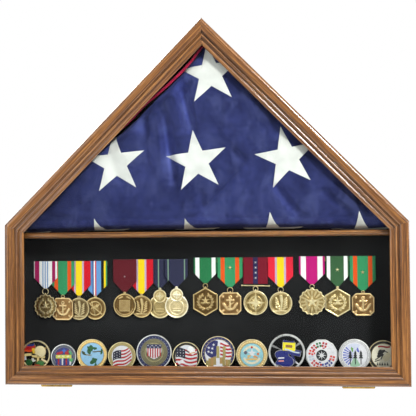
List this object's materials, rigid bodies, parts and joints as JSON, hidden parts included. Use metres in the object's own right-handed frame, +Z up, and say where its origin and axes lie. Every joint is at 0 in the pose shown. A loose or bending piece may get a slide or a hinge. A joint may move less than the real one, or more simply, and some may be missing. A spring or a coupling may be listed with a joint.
{
  "type": "folded flag display case",
  "caption": "House-shaped oak case with a bottom-hinged glazed door, holding a folded flag above a shelf, with medals and coins below.",
  "frame": {"origin": "centre of the base, at the bottoms of the hinge knuckles and rear bumpers, half way through the depth", "axes": "+Z up, +Y from the glazed door to the back, +X to the right of someone facing the door"},
  "size_m": [0.61, 0.096, 0.5581],
  "materials": {
    "oak": "satin lacquered oak, mid brown stain",
    "plywood": "raw hardwood plywood",
    "black_rail": "black painted wood",
    "glass": "clear float glass",
    "hinge_brass": "polished brass",
    "steel": "zinc plated steel",
    "magnet": "nickel plated magnet",
    "rubber": "black rubber",
    "bumper": "translucent polyurethane",
    "velvet": "black velvet",
    "flag_cloth": "navy cotton with white embroidered stars and red stripes",
    "ribbon": "woven grosgrain ribbon in several stripe patterns",
    "bronze": "antiqued bronze",
    "coin": "struck and enamelled metal"
  },
  "bodies": {
    "case": {"bottom_board": "oak", "left_side_board": "oak", "right_side_board": "oak", "left_roof_board": "oak", "right_roof_board": "oak", "flag_shelf": "oak", "back_panel": "plywood", "back_panel_screws": "steel", "medal_backer": "velvet", "flag_liner": "velvet", "hanging_rail": "plywood", "left_keyhole_plate": "steel", "right_keyhole_plate": "steel", "hanger_screws": "steel", "rear_bumpers": "rubber", "door_bumpers": "bumper", "catch_magnets": "magnet", "hinge_case_screws": "hinge_brass", "left_hinge_case_leaf": "hinge_brass", "right_hinge_case_leaf": "hinge_brass", "left_hinge_pin": "hinge_brass", "right_hinge_pin": "hinge_brass", "folded_flag": "flag_cloth", "medal_bars": "bronze", "coin_rack": "black_rail", "medal_ribbons_a": "ribbon", "medal_pendants_a": "bronze", "medal_ribbons_b": "ribbon", "medal_pendants_b": "bronze", "medal_ribbons_c": "ribbon", "medal_pendants_c": "bronze", "medal_ribbons_d": "ribbon", "medal_pendants_d": "bronze", "coin_01": "coin", "coin_02": "coin", "coin_03": "coin", "coin_04": "coin", "coin_05": "coin", "coin_06": "coin", "coin_07": "coin", "coin_08": "coin", "coin_09": "coin", "coin_10": "coin", "coin_11": "coin", "coin_12": "coin"},
    "door": {"door_bottom_rail": "oak", "door_left_stile": "oak", "door_right_stile": "oak", "door_left_rafter": "oak", "door_right_rafter": "oak", "glass_pane": "glass", "glass_stops": "oak", "stop_brads": "steel", "catch_strikes": "steel", "left_hinge_door_leaf": "hinge_brass", "right_hinge_door_leaf": "hinge_brass", "hinge_door_screws": "hinge_brass"}
  },
  "joints": [
    {"name": "door_hinge", "type": "hinge", "parent": "case", "child": "door", "pos_m": [0, -0.0286, 0.0024], "axis": [1, 0, 0], "range_deg": [0, 180]}
  ]
}
